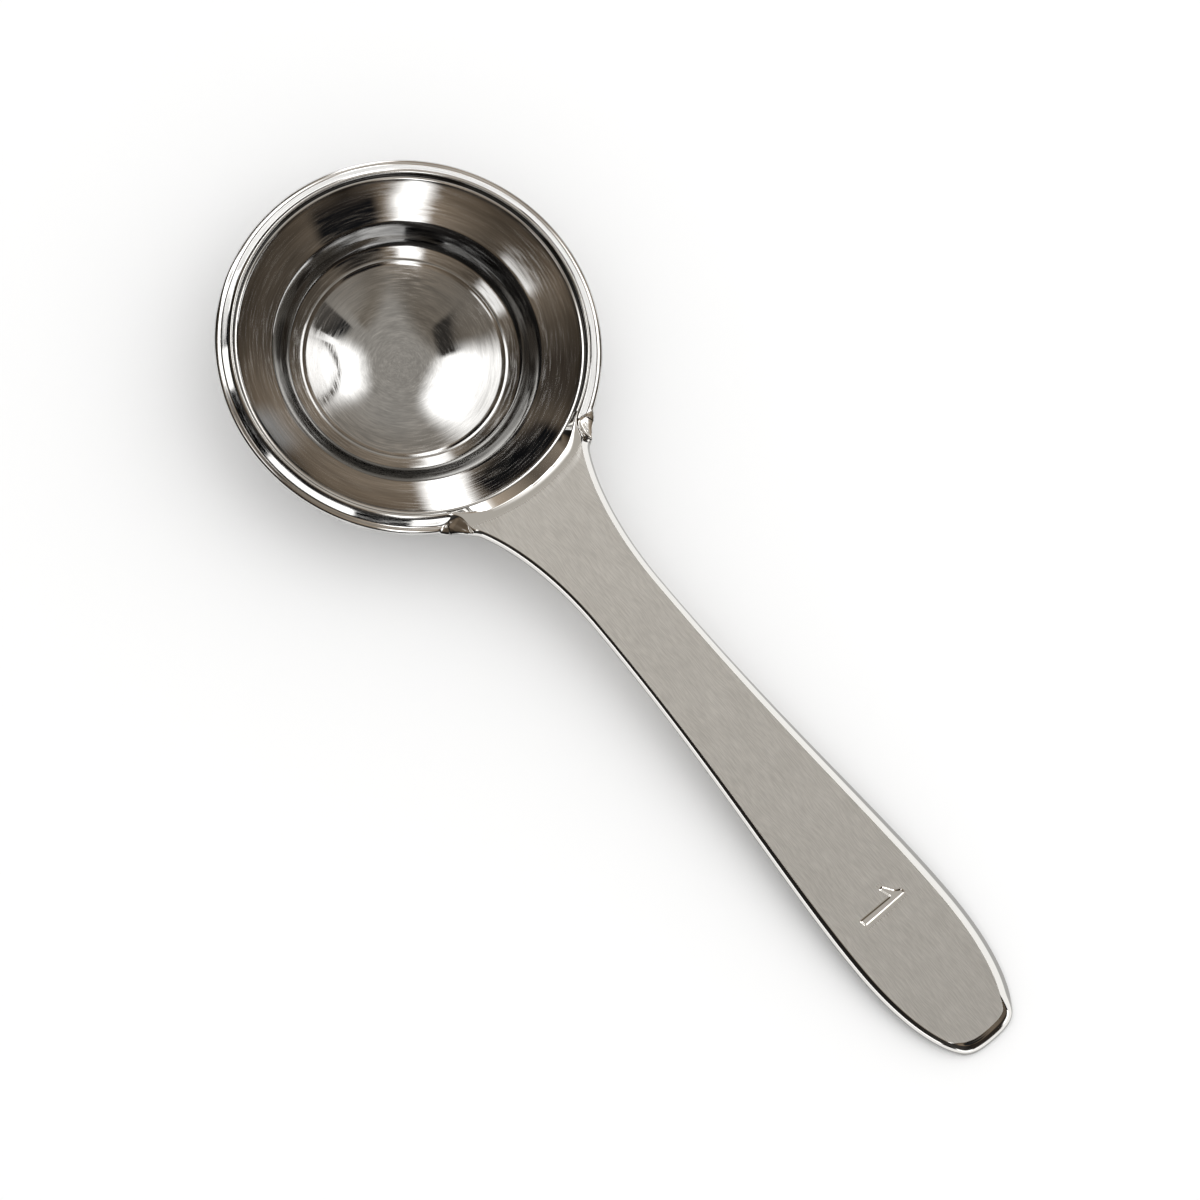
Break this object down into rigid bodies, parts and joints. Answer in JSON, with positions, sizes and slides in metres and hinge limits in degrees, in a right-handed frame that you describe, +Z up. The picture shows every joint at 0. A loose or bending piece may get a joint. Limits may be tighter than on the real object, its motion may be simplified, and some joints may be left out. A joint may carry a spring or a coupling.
{
  "type": "oil spoon",
  "caption": "Stainless steel measuring spoon for oil, with a round stepped bowl, a rolled rim and a flat handle that widens toward a clipped tip.",
  "frame": {"origin": "centre of the small ground flat under the bowl, on the surface that the spoon stands on", "axes": "+Z up, +X from the bowl toward the handle's tip, +Y to the left of the handle as seen from above with the tip ahead"},
  "size_m": [0.1676, 0.06, 0.017],
  "materials": {
    "polished_stainless": "polished",
    "brushed_stainless": "satin, brushed along the handle",
    "plain_stainless": "plain rolled sheet",
    "dressed_weld": "weld metal, dressed flush"
  },
  "bodies": {
    "root": {"bowl": "polished_stainless", "handle_shell": "brushed_stainless", "handle_back_plate": "plain_stainless", "handle_seam_weld": "dressed_weld", "neck_weld": "dressed_weld", "plug_weld_left": "dressed_weld", "plug_weld_right": "dressed_weld"}
  },
  "joints": []
}
